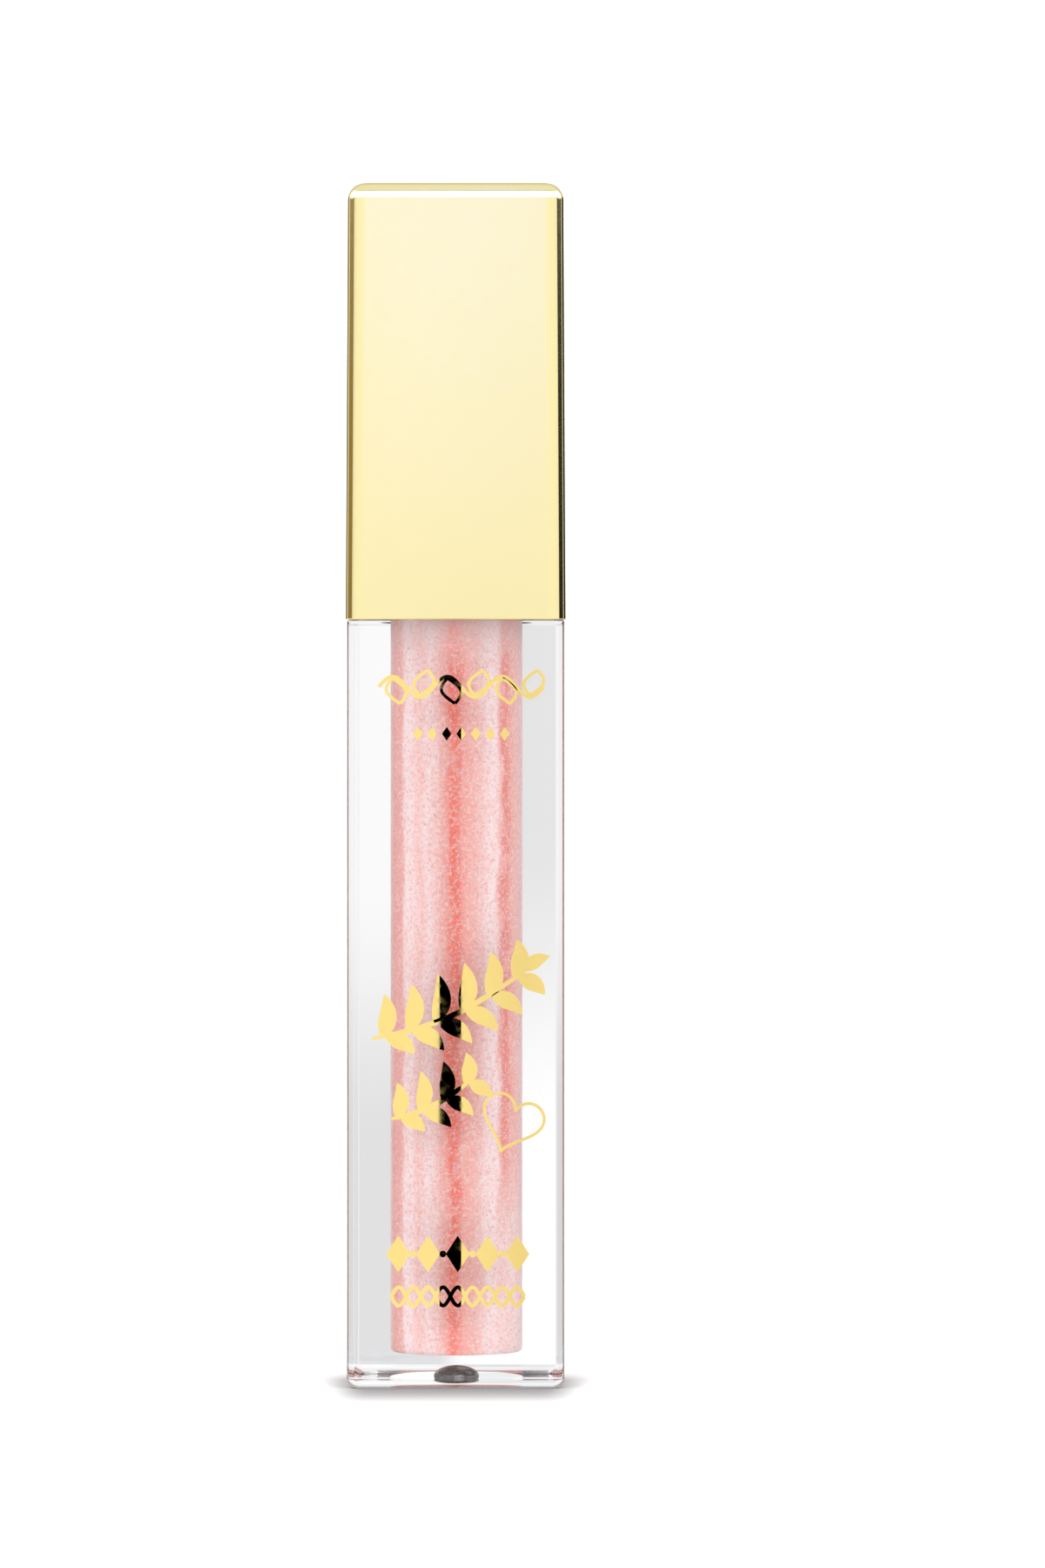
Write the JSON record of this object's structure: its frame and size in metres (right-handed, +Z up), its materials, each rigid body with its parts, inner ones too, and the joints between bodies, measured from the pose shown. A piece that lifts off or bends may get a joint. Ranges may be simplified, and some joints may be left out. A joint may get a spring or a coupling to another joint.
{
  "type": "lip gloss tube",
  "caption": "Slim square lip gloss tube: thick clear bottle of pink glitter gloss and a tall gold screw cap that carries a black stem with a slanted flocked tip.",
  "frame": {"origin": "middle of the base, on the surface that the tube stands on", "axes": "+Z up along the tube and the screw axis, -Y the front face with the foil print, +X to the right seen from the front"},
  "size_m": [0.0194, 0.0194, 0.1055],
  "materials": {
    "clear_plastic": "crystal clear thick-walled moulded plastic, polished",
    "foil_print": "thin gold foil print on the front face",
    "wiper_plastic": "natural soft polyethylene, satin",
    "gloss_gel": "translucent coral pink gel full of fine glitter",
    "gasket_foam": "closed-cell foam sheet",
    "stem_plastic": "glossy black moulded plastic",
    "nib_elastomer": "soft pink elastomer",
    "flock": "short pink nylon flock",
    "insert_plastic": "natural white moulded plastic, satin",
    "gold_plating": "pale gold metallised plastic, mirror bright"
  },
  "bodies": {
    "bottle": {"bottle": "clear_plastic", "wiper": "wiper_plastic"},
    "gloss": {"gloss_fill": "gloss_gel"},
    "seal": {"gasket": "gasket_foam"},
    "applicator": {"stem": "stem_plastic", "tip_core": "nib_elastomer", "tip_flock": "flock", "inner_cap": "insert_plastic", "outer_cap": "gold_plating"}
  },
  "joints": [
    {"name": "cap_turn", "type": "hinge", "parent": "bottle", "child": "gloss", "pos_m": [0, 0, 0.0768], "axis": [0, 0, 1], "range_deg": [0, 405]},
    {"name": "lift_out", "type": "slide", "parent": "gloss", "child": "seal", "axis": [0, 0, 1], "range_m": [0, 0.08]},
    {"name": "thread_rise", "type": "slide", "parent": "seal", "child": "applicator", "axis": [0, 0, 1], "range_m": [0, 0.00282]}
  ],
  "couplings": [
    {"joint": "thread_rise", "follows": "cap_turn", "m_per_rad": 0.00039789}
  ]
}
